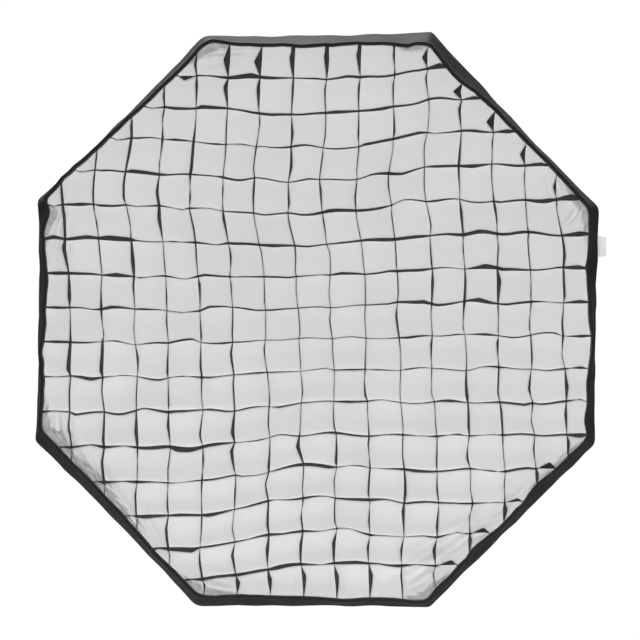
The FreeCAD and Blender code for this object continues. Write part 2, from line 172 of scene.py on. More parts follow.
def rim_wave(points):
    """Slack in the rim's cloth: a push out or in, along each side's normal and the corners' own."""
    points = np.array(points, float)
    x, y, z = points[..., 0], points[..., 1], points[..., 2]
    side, out, across = side_of(x, z)
    half = np.maximum(out * TAN, 1e-6)
    lean = np.clip(across / half, -1, 1)
    phi = np.radians(side * 45 + 22.5 * np.sign(lean) * np.abs(lean) ** 5)
    flat = np.stack([x, z], -1)
    push = 0.0007 * waves(flat, 0.11, 5) + 0.0006 * waves(flat, 0.04, 6)
    for own, place, spread, size in RIM_BULGES:
        round_to = (side - own + 4) % 8 - 4
        along = across + np.clip(round_to, -1, 1) * 2 * half - 0.001 * place
        bulge = 0.001 * size * np.exp(-((along / (0.001 * spread)) ** 2) / 2)
        push = push + np.where(np.abs(round_to) < 2, bulge, 0)
    push = push * smooth((-y - BULGE_FROM) / BULGE_OVER) * smooth((out - LIP + 0.09) / 0.08)
    points[..., 0] += push * np.sin(phi)
    points[..., 2] += push * np.cos(phi)
    return points


PER_SIDE, PER_CORNER = 26, 7  # points of one side and of one corner in a ring


def octa(apothem, rounding, per_side=PER_SIDE):
    """A round-cornered octagon as (x, z) points, with outward normals."""
    points, normals = [], []
    rounding = rounding * np.ones(8)
    for k in range(8):
        phi = math.radians(45 * k)
        out = np.array([math.sin(phi), math.cos(phi)])
        tangent = np.array([math.cos(phi), -math.sin(phi)])
        start, end = -(apothem - rounding[k - 1]) * TAN, (apothem - rounding[k]) * TAN
        for s in np.linspace(start, end, per_side):
            points.append(out * apothem + tangent * s)
            normals.append(out)
        middle = phi + math.pi / 8
        centre = np.array([math.sin(middle), math.cos(middle)]) * (apothem - rounding[k]) / COS
        for f in np.arange(1, PER_CORNER + 1) / (PER_CORNER + 1):
            angle = phi + f * math.pi / 4
            out = np.array([math.sin(angle), math.cos(angle)])
            points.append(centre + out * rounding[k])
            normals.append(out)
    return np.array(points), np.array(normals)


def at_y(flat, y):
    """Flat (x, z) points as points in space."""
    return np.stack([flat[:, 0], np.full(len(flat), y), flat[:, 1]], -1)


def rings(profile):
    """Rows of points for a band with the section (apothem, y, rounding)."""
    return np.array([at_y(octa(apothem, rounding * CORNER_ROUND)[0], y)
                     for apothem, y, rounding in profile])


# ---- meshes ----
def lengths(rows, axis):
    """Running length along an axis of a grid of points, averaged over the other."""
    step = np.linalg.norm(np.diff(rows, axis=axis), axis=-1).mean(axis=1 - axis)
    return np.concatenate([[0.0], np.cumsum(step)])


def grid_faces(rows, closed):
    """Vertices, quads and UVs in metres for one grid of points."""
    m, n = rows.shape[:2]
    wrapped = np.concatenate([rows, rows[:, :1]], 1) if closed else rows
    u, v = lengths(wrapped, 1), lengths(rows, 0)
    faces, uvs = [], []
    for i in range(m - 1):
        for j in range(n if closed else n - 1):
            k = (j + 1) % n
            faces.append((i * n + j, i * n + k, (i + 1) * n + k, (i + 1) * n + j))
            uvs += [(u[j], v[i]), (u[j + 1], v[i]), (u[j + 1], v[i + 1]), (u[j], v[i + 1])]
    return rows.reshape(-1, 3), faces, uvs


def cloth(name, grids, mat, body, closed=False, thick=0.0, nodes=(), cap=False):
    """One object from one or more grids of points. thick adds a thickness, half of it on either
    side of the surface. cap fills the last ring."""
    vertices, faces, uvs = [], [], []
    for rows in grids:
        rows = np.asarray(rows, float)
        points, quads, flat = grid_faces(rows, closed)
        base = len(vertices)
        vertices += [tuple(p) for p in points]
        faces += [tuple(base + i for i in quad) for quad in quads]
        uvs += flat
        if cap:
            last = range(len(vertices) - rows.shape[1], len(vertices))
            faces.append(tuple(last))
            uvs += [(vertices[i][0], vertices[i][2]) for i in last]
    mesh = bpy.data.meshes.new(name)
    mesh.from_pydata(vertices, [], faces)
    layer = mesh.uv_layers.new(name="metres")
    layer.data.foreach_set("uv", np.array(uvs, np.float32).ravel())
    mesh.polygons.foreach_set("use_smooth", [True] * len(faces))
    mesh.materials.append(mat)
    mesh.update()
    obj = bpy.data.objects.new(name, mesh)
    SCENE.collection.objects.link(obj)
    if thick:
        shell = obj.modifiers.new("thickness", "SOLIDIFY")
        shell.thickness, shell.offset = thick, 0.0
        shell.use_even_offset = False
    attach(obj, body)
    if nodes:
        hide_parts(*nodes)
    return obj


def turn_all(rows, degrees):
    """Points turned about the optical axis, clockwise as seen from the front."""
    a = math.radians(degrees)
    rows = np.asarray(rows, float)
    x, y, z = rows[..., 0], rows[..., 1], rows[..., 2]
    return np.stack([x * math.cos(a) + z * math.sin(a), y, -x * math.sin(a) + z * math.cos(a)], -1)


# A stitch from end to end: place along it, thickness and height, of its length and its radius.
THREAD_SHAPE = ((0.0, 0.25, -0.3), (0.2, 1.0, 0.5), (0.8, 1.0, 0.5), (1.0, 0.25, -0.3))


def stitch_rows(path, normals, pitch=0.0042, length=0.0028, radius=0.00035):
    """Short thread capsules lying along a path, as grids for cloth()."""
    path, normals = np.asarray(path, float), np.asarray(normals, float)
    run = np.concatenate([[0.0], np.cumsum(np.linalg.norm(np.diff(path, axis=0), axis=1))])
    grids = []
    for start in np.arange(pitch / 2, run[-1] - length, pitch):
        ends = np.array([[np.interp(s, run, path[:, c]) for c in range(3)]
                         for s in (start, start + length)])
        up = np.array([np.interp(start, run, normals[:, c]) for c in range(3)])
        along = ends[1] - ends[0]
        along /= np.linalg.norm(along)
        across = np.cross(along, up)
        across /= np.linalg.norm(across)
        up = np.cross(across, along)
        rows = []
        for f, r, lift in THREAD_SHAPE:
            centre = ends[0] + (ends[1] - ends[0]) * f + up * radius * lift
            rows.append([centre + radius * r * (across * math.cos(t) + up * math.sin(t))
                         for t in np.arange(6) * math.pi / 3])
        grids.append(np.array(rows))
    return grids


# ---- materials ----
def link(tree, a, b):
    tree.links.new(a, b)


def node(tree, kind, **values):
    """A shader node. Values named in_... go to its inputs, the others to its own settings."""
    made = tree.nodes.new("ShaderNode" + kind)
    for key, value in values.items():
        if key.startswith("in_"):
            made.inputs[key[3:].replace("_", " ")].default_value = value
        else:
            setattr(made, key, value)
    return made


def times(tree, colour, other, factor):
    """One colour multiplied by another, by a share of the whole effect."""
    mix = node(tree, "Mix", data_type="RGBA", blend_type="MULTIPLY")
    mix.inputs["Factor"].default_value = factor
    link(tree, colour, mix.inputs["A"])
    link(tree, other, mix.inputs["B"])
    return mix.outputs["Result"]


def noise_height(tree, source, period, detail):
    grain = node(tree, "TexNoise", in_Scale=1 / period, in_Detail=detail)
    link(tree, source, grain.inputs["Vector"])
    return grain.outputs["Fac"]


def height_field(tree, place, kind, period, streak):
    """The height of a surface pattern. Woven ones lie along the mesh's UVs, which are metres."""
    if kind in ("weave", "ribs", "grosgrain"):
        scale = 2 * math.pi / period / 20  # at a scale of 1, a wave's bands are 2 pi / 20 apart
        bands = []
        for direction in ("X", "Y"):
            band = node(tree, "TexWave", bands_direction=direction, in_Scale=scale)
            link(tree, place.outputs["UV"], band.inputs["Vector"])
            bands.append(band.outputs["Fac"])
        if kind != "weave":
            return bands[0 if kind == "ribs" else 1]
        crossed = node(tree, "Math", operation="MULTIPLY")
        link(tree, bands[0], crossed.inputs[0])
        link(tree, bands[1], crossed.inputs[1])
        return crossed.outputs[0]
    if kind == "hooks":
        cells = node(tree, "TexVoronoi", in_Scale=1 / period)
        link(tree, place.outputs["UV"], cells.inputs["Vector"])
        return cells.outputs["Distance"]
    if kind == "brushed":
        stretch = node(tree, "Mapping")
        stretch.inputs["Scale"].default_value = streak
        link(tree, place.outputs["Object"], stretch.inputs["Vector"])
        return noise_height(tree, stretch.outputs["Vector"], period, 3.0)
    return noise_height(tree, place.outputs["Object"], period, 4.0)


def let_through(tree, shader, colour, relief, share):
    """The shader mixed with a share of light that comes through from behind."""
    through = node(tree, "BsdfTranslucent")
    link(tree, colour, through.inputs["Color"])
    link(tree, relief.outputs["Normal"], through.inputs["Normal"])
    both = node(tree, "MixShader")
    both.inputs["Fac"].default_value = share
    link(tree, shader.outputs["BSDF"], both.inputs[1])
    link(tree, through.outputs["BSDF"], both.inputs[2])
    link(tree, both.outputs["Shader"], tree.nodes["Material Output"].inputs["Surface"])


def surface(name, dark, light, rough, pattern, bump, metallic=0.0, sheen=0.0, mottle=0.06,
            translucent=0.0, specular=0.5, streak=None, with_painted_shade=False):
    """A procedural material. pattern gives the height field: (kind, period in metres). mottle is the size
    of the patches between dark and light. The last option multiplies the colour by the mesh's own tone
    attribute, which is painted shade written per vertex."""
    mat = bpy.data.materials.new(name)
    mat.use_nodes = True
    tree = mat.node_tree
    shader = tree.nodes["Principled BSDF"]
    for socket, value in (("Metallic", metallic), ("Sheen Weight", sheen), ("Sheen Roughness", 0.45),
                          ("Specular IOR Level", specular)):
        shader.inputs[socket].default_value = value
    place = node(tree, "TexCoord")
    cloud = node(tree, "TexNoise", in_Scale=1 / mottle, in_Detail=5.0, in_Roughness=0.6)
    link(tree, place.outputs["Object"], cloud.inputs["Vector"])
    ramp = node(tree, "ValToRGB")
    for stop, position, colour in zip(ramp.color_ramp.elements, (0.32, 0.68), (dark, light)):
        stop.position = position
        stop.color = (*colour, 1)
    link(tree, cloud.outputs["Fac"], ramp.inputs["Fac"])
    dull = node(tree, "MapRange", in_To_Min=rough - 0.07, in_To_Max=rough + 0.07)
    link(tree, cloud.outputs["Fac"], dull.inputs["Value"])
    link(tree, dull.outputs["Result"], shader.inputs["Roughness"])
    kind, period = pattern
    height = height_field(tree, place, kind, period, streak)
    colour = ramp.outputs["Color"]
    if kind != "grain":
        tone = node(tree, "ValToRGB")
        tone.color_ramp.elements[0].color = (0.72, 0.72, 0.72, 1)
        link(tree, height, tone.inputs["Fac"])
        colour = times(tree, colour, tone.outputs["Color"], 0.35)
    # Painted shade: the mesh's tone attribute darkens the colour wherever it is written.
    if with_painted_shade:
        own = node(tree, "Attribute", attribute_name="tone")
        colour = times(tree, colour, own.outputs["Color"], 1.0)
    link(tree, colour, shader.inputs["Base Color"])
    relief = node(tree, "Bump", in_Strength=bump, in_Distance=period * 0.5)
    link(tree, height, relief.inputs["Height"])
    link(tree, relief.outputs["Normal"], shader.inputs["Normal"])
    if translucent:
        let_through(tree, shader, colour, relief, translucent)
    return mat


def greys(dark, light, tint=0.0):
    """A dark and a light grey, with more blue than neutral by the share tint."""
    return [(v, v, v * (1 + tint)) for v in (dark, light)]


NYLON = surface("cover_nylon", *greys(0.014, 0.024, 0.06), 0.62, ("weave", 0.0009), 0.25, sheen=0.08,
                specular=0.25)
PATCH_NYLON = surface("patch_nylon", *greys(0.016, 0.027, 0.05), 0.7, ("weave", 0.0016), 0.45, sheen=0.12,
                      specular=0.3)
RIM_NYLON = surface("rim_nylon", *greys(0.004, 0.010, 0.02), 0.6, ("weave", 0.0009), 0.25, sheen=0.02,
                    mottle=0.03, specular=0.1)
SILVER = surface("silver_lining", *greys(0.66, 0.78), 0.36, ("weave", 0.0025), 0.35, metallic=0.4,
                 mottle=0.05)
WEBBING = surface("webbing", *greys(0.016, 0.028), 0.75, ("ribs", 0.0016), 0.5, sheen=0.3)
CUFF_KNIT = surface("elastic", *greys(0.016, 0.026), 0.8, ("ribs", 0.0012), 0.6, sheen=0.3)
HOOKS = surface("hook_tape", *greys(0.012, 0.024), 0.9, ("hooks", 0.0011), 0.9, sheen=0.2)
GRID_CLOTH = surface("grid_cloth", *greys(0.007, 0.012), 0.85, ("weave", 0.0008), 0.3, sheen=0.05,
                     specular=0.2)
# The front diffuser's colour takes painted shade from its mesh's tone attribute.
DIFFUSION = surface("diffusion_cloth", (0.80, 0.81, 0.82), (0.85, 0.86, 0.87), 0.62, ("weave", 0.0012),
                    0.12, mottle=0.11, translucent=0.2, specular=0.3, with_painted_shade=True)
BAFFLE_CLOTH = surface("baffle_cloth", (0.72, 0.73, 0.73), (0.78, 0.79, 0.79), 0.62, ("weave", 0.0012),
                       0.12, mottle=0.1, translucent=0.3, specular=0.3)
LABEL = surface("label_weave", (0.58, 0.58, 0.57), (0.66, 0.66, 0.65), 0.7, ("grosgrain", 0.0008), 0.4,
                mottle=0.01)
THREAD = surface("thread", *greys(0.055, 0.085), 0.6, ("grain", 0.0004), 0.3)
MACHINED = surface("machined_aluminium", *greys(0.58, 0.66, 0.02), 0.34, ("brushed", 0.004), 0.15,
                   metallic=1.0, streak=(1, 30, 1))
COATED = surface("coated_casting", *greys(0.018, 0.03), 0.48, ("grain", 0.0009), 0.3)
SOCKET = surface("socket_metal", *greys(0.42, 0.5), 0.4, ("brushed", 0.003), 0.15, metallic=1.0,
                 streak=(20, 20, 20))
SPRING = surface("spring_steel", *greys(0.36, 0.46, 0.03), 0.3, ("brushed", 0.006), 0.12, metallic=1.0,
                 streak=(12, 12, 12), mottle=0.04)
MOULDED = surface("moulded_plastic", *greys(0.018, 0.027), 0.45, ("grain", 0.0006), 0.2)
KNOB = surface("knob_plastic", *greys(0.014, 0.022), 0.38, ("grain", 0.0008), 0.15)
PLATED = surface("snap_plating", *greys(0.55, 0.64), 0.25, ("grain", 0.0015), 0.05, metallic=1.0,
                 mottle=0.01)


def paint(mat, *names):
    for name in names:
        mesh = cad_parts[name].data
        mesh.materials.clear()
        mesh.materials.append(mat)


paint(MACHINED, "bayonet_insert")
paint(COATED, "speedring")
paint(SOCKET, "rod_sockets")
paint(SPRING, *eight("rod"))
paint(MOULDED, "rod_tips")
paint(KNOB, *[f"thumb_screw_{n}" for n in range(1, 5)])
paint(PLATED, "snap_studs", "snap_caps")


# ---- the cover ----
SECTOR = PER_SIDE + PER_CORNER
COVER_ROWS = 46  # from the speedring to the shoulder
PATCH_FROM = 39  # the row at which the corner patches begin
PANEL_SAG = 0.0085  # how far a panel is drawn in between its rods, half way along
REAR_APOTHEM = 0.0750  # the least, where the skin ends on the speedring


def cover_rows(offset):
    """The skin between the rods, drawn in a little between them and puckered at the seams."""
    rows = []
    for share in np.linspace(0, 1, COVER_ROWS):
        radius, y = corner_line(-BOW + share * 2 * BOW, offset)
        apothem = max(radius * COS, REAR_APOTHEM + offset)
        rounding = (0.017 + 0.050 * (1 - share) ** 5) * (1 + (CORNER_ROUND - 1) * share ** 3)
        flat, normals = octa(apothem, np.minimum(rounding, apothem * 0.8))
        side, out, across = side_of(flat[:, 0], flat[:, 1])
        half = apothem * TAN
        inward = np.clip(1 - (across / half) ** 2, 0, 1)
        sag = (PANEL_SAG * math.sin(math.pi * share)) * inward * smooth((radius - 0.1) / 0.25)
        points = at_y(flat, y)
        seam = np.exp(-(((half - np.abs(across)) / 0.020) ** 2))
        along = np.stack([points[:, 0] * 0.15, points[:, 1] * 2.4, points[:, 2] * 0.15, side * 7.0], -1)
        pucker = 0.0030 * seam * (1 - seam) * waves(along, 0.03, 21)
        creases = np.stack([across * 3.0 / (radius + 0.2), side * 5.0, points[:, 1] * 0.8], -1)
        drape = 0.0016 * inward * waves(points, 0.17, 22) * math.sin(math.pi * share) ** 0.5
        drape += 0.0009 * inward ** 0.5 * waves(creases, 0.11, 23) * math.sin(math.pi * share) ** 0.5
        push = -sag + (pucker + drape) * smooth(share / 0.1)
        points[:, 0] += push * normals[:, 0]
        points[:, 2] += push * normals[:, 1]
        rows.append(points)
    return settle(np.array(rows))


def outward(rows):
    """Unit normals of a closed grid of points, on the side away from the optical axis."""
    normal = np.cross(np.roll(rows, -1, 1) - np.roll(rows, 1, 1), np.gradient(rows, axis=0))
    normal /= np.maximum(np.linalg.norm(normal, axis=-1, keepdims=True), 1e-12)
    facing = (normal[..., 0] * rows[..., 0] + normal[..., 2] * rows[..., 2])[..., None]
    return normal * np.where(facing < 0, -1, 1)


def across_seam(rows, k, offsets, reach=24):
    """Points at given distances to either side of seam k, one column per distance."""
    middle = k * SECTOR + PER_SIDE + PER_CORNER // 2
    columns = [(middle + d) % rows.shape[1] for d in range(-reach, reach + 1)]
    ring = rows[:, columns]
    run = np.cumsum(np.linalg.norm(np.diff(ring, axis=1), axis=-1), axis=1)
    run = np.concatenate([np.zeros((len(rows), 1)), run], 1)
    run -= run[:, [reach]]
    return np.array([[[np.interp(s, run[i], ring[i, :, c]) for c in range(3)] for i in range(len(rows))]
                     for s in offsets])


outer = cover_rows(0.0)
skin_up = outward(outer)
skin = cloth("cover_skin", [outer], NYLON, "box", closed=True, thick=0.0005,
             nodes=eight("gore"))
lining = cloth("cover_lining", [cover_rows(-0.0011)], SILVER, "box", closed=True, thick=0.0004)


# Places across a seam, and how far the ribbed binding stands above the skin at each of them.
BINDING_PLACES = np.linspace(-0.0115, 0.0115, 9)
BINDING_LIFT = np.array([0.5, 0.8, 0.9, 1.1, 1.3, 1.1, 0.9, 0.8, 0.5]) * 0.0009
PATCH_PLACES = np.linspace(-0.043, 0.043, 23)


def seam_binding(k):
    """The binding over seam k as columns of points, with the two lines of thread that hold it."""
    strip = across_seam(outer + skin_up * 0.0004, k, BINDING_PLACES)
    up = across_seam(skin_up, k, [0.0])[0]
    binding = (strip + up * BINDING_LIFT[:, None, None])[:, 1 : PATCH_FROM + 1]
    up = up[1 : PATCH_FROM + 1]
    threads = []
    for lane in (1, 7):
        threads += stitch_rows(binding[lane] + up * 0.0005, up)
    return binding, threads


def corner_patch(k):
    """The patch over the front end of seam k, with the thread along its four edges."""
    patch = across_seam(outer + skin_up * 0.0012, k, PATCH_PLACES)[:, PATCH_FROM:]
    up = across_seam(skin_up, k, PATCH_PLACES)[:, PATCH_FROM:]
    threads = []
    for lane in (1, 21):
        threads += stitch_rows(patch[lane] + up[lane] * 0.0004, up[lane])
    for row in (0, 5):
        threads += stitch_rows(patch[1:22, row] + up[1:22, row] * 0.0004, up[1:22, row])
    return patch, threads


threads, bindings, patches = [], [], []
for k in range(8):
    binding, binding_threads = seam_binding(k)
    patch, patch_threads = corner_patch(k)
    bindings.append(binding)
    patches.append(patch)
    threads += binding_threads + patch_threads
cloth("seam_binding_ribs", bindings, WEBBING, "box", thick=0.0008,
      nodes=eight("seam_binding"))
cloth("corner_patch_cloth", patches, PATCH_NYLON, "box", thick=0.0010,
      nodes=["corner_patches"])


# The cuff's section, as (radius, y) points.
CUFF_SECTION = ((0.0726, -0.0160), (0.0733, -0.0153), (0.0744, -0.0156), (0.0752, -0.0168),
                (0.0753, -0.0182), (0.0751, -0.0196), (0.0742, -0.0205), (0.0730, -0.0203))


def cuff_rows(count=288):
    """The elastic cuff: full rings about the optical axis, gathered in 72 small ripples."""
    angles = np.arange(count) * 2 * math.pi / count
    rows = np.array([np.stack([r * np.sin(angles), np.full(count, y), r * np.cos(angles)], -1)
                     for r, y in CUFF_SECTION])
    ripples = np.sin(72 * angles + 0.8 * np.sin(5 * angles)) * (0.7 + 0.3 * np.sin(11 * angles))
    gather = 1 + 0.0055 * ripples
    rows[1:-1, :, 0] *= gather
    rows[1:-1, :, 2] *= gather
    return rows


cloth("cuff_elastic", [cuff_rows()], CUFF_KNIT, "box", closed=True, thick=0.0005,
      nodes=["rear_cuff"])


# ---- fittings sewn inside the corners ----
def rod_place(beta):
    """A rod's centre (radius, y) and its direction towards the front, in the rod's plane."""
    centre = corner_line(beta, -ROD_INSET)
    return centre, -OUTWARD * math.sin(beta) + ALONG * math.cos(beta)


def in_rod_plane(points):
    """(across, y, radius) points put at each of the eight rods."""
    points = np.asarray(points, float)
    return [turn_all(points, 22.5 + 45 * k) for k in range(8)]


# The sleeve's section from its mouth to its closed end: place back from the rod's end, half
# width across the corner and half depth.
SLEEVE_SECTIONS = (
    (0.0395, 0.0070, 0.0062), (0.0400, 0.0076, 0.0066), (0.0380, 0.0078, 0.0067),
    (0.0300, 0.0076, 0.0065), (0.0180, 0.0076, 0.0064), (0.0060, 0.0074, 0.0063),
    (-0.0020, 0.0068, 0.0060), (-0.0050, 0.0052, 0.0046), (-0.0058, 0.0020, 0.0018),
)


def sleeve_rows():
    """The pocket for one rod's tip, round the rod's end and along its direction there."""
    (end_r, end_y), (dir_r, dir_y) = rod_place(BOW - ROD_END / BOW_RADIUS)
    rows = []
    for back, wide, deep in SLEEVE_SECTIONS:
        ring = []
        for t in np.arange(20) * math.pi / 10:
            side_step = deep * math.sin(t)
            y = end_y - back * dir_y + side_step * dir_r
            radius = end_r - back * dir_r - side_step * dir_y
            ring.append((wide * math.cos(t), y, radius))
        rows.append(ring)
    return rows


cloth("pocket_sleeves", in_rod_plane(sleeve_rows()), WEBBING, "box", closed=True, thick=0.0006,
      nodes=eight("rod_pocket"))


def plate_with_hole(outline, hole, hole_size, y, count=40):
    """Rings from a hole out to a convex outline, both in a plane of constant y."""
    outline, hole = np.asarray(outline, float), np.asarray(hole, float)
    rows = []
    for share in (0.0, 0.35, 0.7, 0.93, 1.0):
        ring = []
        for t in np.arange(count) * 2 * math.pi / count:
            ray = np.array([math.cos(t), math.sin(t)])
            reach = 1e9
            for a, b in zip(outline, np.roll(outline, -1, 0)):
                edge = b - a
                cross = ray[0] * edge[1] - ray[1] * edge[0]
                if abs(cross) > 1e-12:
                    far = ((a[0] - hole[0]) * edge[1] - (a[1] - hole[1]) * edge[0]) / cross
                    if far > 1e-9:
                        reach = min(reach, far)
            near = np.array([hole_size[0] * ray[0], hole_size[1] * ray[1]])
            spot = hole + near * (1 - share) + ray * reach * share
            ring.append((spot[0], y, spot[1]))
        rows.append(ring)
    return np.array(rows)


def strap_rows(y, inner):
    """A strap across a corner at y, with the hole that its rod runs through."""
    corner = float(corner_line(beta_where(y - CLOTH, 1))[0]) - 0.0037
    half = 0.010
    shoulder = corner - half * TAN
    outline = [(-half, inner), (half, inner), (half, shoulder - 0.002), (0, corner - 0.002),
               (-half, shoulder - 0.002)]
    beta = beta_where(y, 1, -ROD_INSET)
    (r, _), (_, lean) = rod_place(beta)
    return plate_with_hole(outline, (0.0, r), (0.0027, 0.0027 / abs(lean)), y - CLOTH / 2)


def rod_radius(y):
    return float(corner_line(beta_where(y, 1, -ROD_INSET), -ROD_INSET)[0])


def tab_rows():
    """One elastic of the baffle, from under the baffle's corner out to its snap."""
    snap_r = rod_radius(BAFFLE_Y) - 0.022
    half, root = 0.010, 0.255
    outline = [(-half, root), (half, root), (half, snap_r + 0.008), (half - 0.002, snap_r + 0.009),
               (0.002 - half, snap_r + 0.009), (-half, snap_r + 0.008)]
    return plate_with_hole(outline, (0.0, snap_r), (0.0026, 0.0026), BAFFLE_Y - 0.0015)


# Each set of eight straps: its y, and how far inside the rod it reaches. The snaps are on the
# middle ones, so they are longer.
STRAP_SETS = ((-0.110, 0.009), (BAFFLE_Y + 0.0018, 0.031), (-0.310, 0.009))
straps = []
for y, margin in STRAP_SETS:
    straps += in_rod_plane(strap_rows(y, rod_radius(y) - margin))
cloth("rod_straps", straps, WEBBING, "box", closed=True, thick=0.0011,
      nodes=["rod_loops"])
cloth("baffle_elastics", in_rod_plane(tab_rows()), CUFF_KNIT, "baffle", closed=True, thick=0.0008,
      nodes=["baffle_tabs"])


# ---- the rim ----
LIP_ROUND = 0.022
# The rim's section from over the cover's edge to the turn-in at the front: distance from the
# axis, y and rounding of the corners.
LIP_PROFILE = [
    (EDGE + 0.0006, -0.3700, 0.018), (EDGE + 0.0012, -0.3765, 0.019), (EDGE + 0.0017, -0.3810, 0.019),
    (EDGE + 0.0010, -0.3845, 0.020), (EDGE - 0.0025, -0.3885, 0.020), (LIP + 0.0050, -0.3930, 0.020),
    (LIP + 0.0018, -0.3975, 0.021), (LIP + 0.0006, -0.4030, LIP_ROUND),
    (LIP + 0.0002, -0.4110, LIP_ROUND), (LIP, -0.4200, LIP_ROUND), (LIP, -0.4290, LIP_ROUND),
    (LIP + 0.0001, -0.4355, LIP_ROUND), (LIP - 0.0001, FRONT - 0.0002, LIP_ROUND),
    (LIP - 0.0007, FRONT - 0.0012, LIP_ROUND), (LIP - 0.0014, FRONT - 0.0004, LIP_ROUND),
    (LIP - 0.0015, -0.4340, LIP_ROUND),
]
SEAM_ROW, HEM_ROW = 1, 10  # the rows of the section that carry thread
lip_rows = rim_wave(settle(rings(LIP_PROFILE)))
lip = cloth("rim_cloth", [lip_rows], RIM_NYLON, "box", closed=True, thick=0.0007,
            nodes=["front_lip"])

seam_row = np.concatenate([lip_rows[SEAM_ROW], lip_rows[SEAM_ROW][:1]])
hem_row = np.concatenate([lip_rows[HEM_ROW], lip_rows[HEM_ROW][:1]])
radial = seam_row[:, [0, 2]] / np.linalg.norm(seam_row[:, [0, 2]], axis=1)[:, None]
thread_up = at_y(radial, 0.0)
for row in (seam_row, hem_row):
    threads += stitch_rows(row + thread_up * 0.0006, thread_up)
cloth("seam_stitches", threads, THREAD, "box", closed=True)


def band(name, outer_edge, thickness, y0, y1, mat, body, nodes, slot):
    """A sewn tape standing on edge inside the rim."""
    profile = [(outer_edge - thickness / 2, y, LIP_ROUND) for y in np.linspace(y0, y1, 7)]
    rows = rim_wave(settle(rings(profile)))
    cloth(name, [rows], mat, body, closed=True, thick=thickness, nodes=nodes)


band("loop_tape", LIP - 0.0017, 0.0012, -0.3995, -0.4325, HOOKS, "box", ["lip_loop_tape"], "tape_black")
band("diffuser_tape", BORDER_OUT, 0.0014, -0.4035, -0.4200, HOOKS, "diffuser", ["diffuser_border"],
     "tape_black")
band("grid_tape", BORDER_OUT, 0.0018, -0.4212, -0.4396, GRID_CLOTH, "grid", ["grid_border"], "tape_black")


# The folded label seen from below: place out from the rim, of its length, and back, of 0.8 mm.
LABEL_FOLD = ((0.0, 0.0), (0.25, 0.12), (0.5, 0.1), (0.75, -0.15), (0.96, -0.45), (1.0, -0.75),
              (0.96, -1.05), (0.75, -0.85), (0.5, -0.6), (0.25, -0.5), (0.0, -0.55))
LABEL_ROOT, LABEL_TIP = 0.4772, 0.4905


def label_rows():
    """The label's tape, out from the rim and back, a little bent and twisted."""
    low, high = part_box("label_tab")
    rows = []
    for along, lift in LABEL_FOLD:
        row = []
        for f in np.linspace(0, 1, 15):
            bend = 0.0006 * math.sin(math.pi * f) * along
            x = LABEL_ROOT + (LABEL_TIP - LABEL_ROOT) * along + bend
            z = low.z + 0.006 + (high.z - low.z) * f + 0.0008 * math.sin(2.2 * math.pi * along) * (f - 0.5)
            row.append((x, high.y + 0.0008 * lift, z))
        rows.append(row)
    return settle(np.array(rows))


label = cloth("label_weave", [label_rows()], LABEL, "box", thick=0.0003,
              nodes=["label_tab"])


# ---- the grid ----
# Where the strips would stand if the grid hung square: left to right and top to bottom.
COLUMNS = -0.4218 + 0.05555 * np.arange(16)
ROWS = 0.4066 - 0.05483 * np.arange(16)
inner_edge = rim_wave(settle(rings([(BORDER_OUT - 0.0021, -0.430, LIP_ROUND)])))[0]
INNER_ANGLE = np.arctan2(inner_edge[:, 0], inner_edge[:, 2])
INNER_RADIUS = np.linalg.norm(inner_edge[:, [0, 2]], axis=1)


def room(x, z):
    """How far inside the border a point is, roughly, along its own radius."""
    angle = np.arctan2(x, z)
    limit = np.interp(angle, INNER_ANGLE, INNER_RADIUS, period=2 * math.pi)
    return limit - np.hypot(x, z)


# Where the grid hangs away from a square one, in millimetres: size of the shift, then its
# middle and spread from left to right and its middle and spread from bottom to top. Those of
# SHIFT_UP_OUTSIDE keep their height out to the border.
SHIFT_RIGHT = (
    (-13.5, 0, 900, 207, 54), (-10, -40, 130, 330, 90), (-5, -100, 150, 100, 120),
    (6.5, 270, 120, 180, 60), (8.5, 260, 140, -270, 80), (-6, -220, 80, -330, 60),
    (-4, -50, 100, -416, 25),
)
SHIFT_UP_OUTSIDE = ((-28.7, -248, 126, -341, 190), (18.0, 275, 135, 351, 186))
SHIFT_UP = (
    (-11.8, -29, 93, 216, 152), (8.4, -12, 55, -324, 130), (8.0, -366, 100, 283, 120),
    (-7.5, 90, 50, 300, 100), (4, 190, 30, 300, 60), (4, -150, 60, 380, 40),
    (-6.5, -270, 90, 50, 70), (6, -100, 50, -310, 60), (-7, 220, 120, -280, 60),
    (-8, 155, 40, -370, 30),
)


def hills(X, Z, table, to_border=False):
    """The sum of a table's smooth hills. to_border keeps their height from the middle outward."""
    total = 0.0
    for size, middle, spread, height, tall in table:
        x, z = 1000 * X - middle, 1000 * Z - height
        if to_border:
            x = np.where(x * middle > 0, 0, x)
        total = total + 0.001 * size * np.exp(-((x / spread) ** 2 + (z / tall) ** 2) / 2)
    return total


def slack(X, Z):
    """Where the point (X, Z) of a perfectly square grid hangs."""
    X, Z = np.broadcast_arrays(np.asarray(X, float), np.asarray(Z, float))
    held = smooth(room(X, Z) / 0.07)
    at = np.stack([X, Z], -1)
    x = X - 0.012 * Z + 0.0063 + hills(X, Z, SHIFT_RIGHT) + 0.0011 * waves(at, 0.09, 31) * held
    up = hills(X, Z, SHIFT_UP_OUTSIDE, to_border=True) + hills(X, Z, SHIFT_UP)
    z = Z + 0.0061 + up + 0.0013 * waves(at, 0.09, 32) * held
    return np.stack([x, z], -1)


def span_of(line):
    """The first and last place along a strip that lie inside the border."""
    places = np.linspace(-0.56, 0.56, 2241)
    spots = line(places)
    inside = places[room(spots[:, 0], spots[:, 1]) > 0]
    return inside[0], inside[-1]


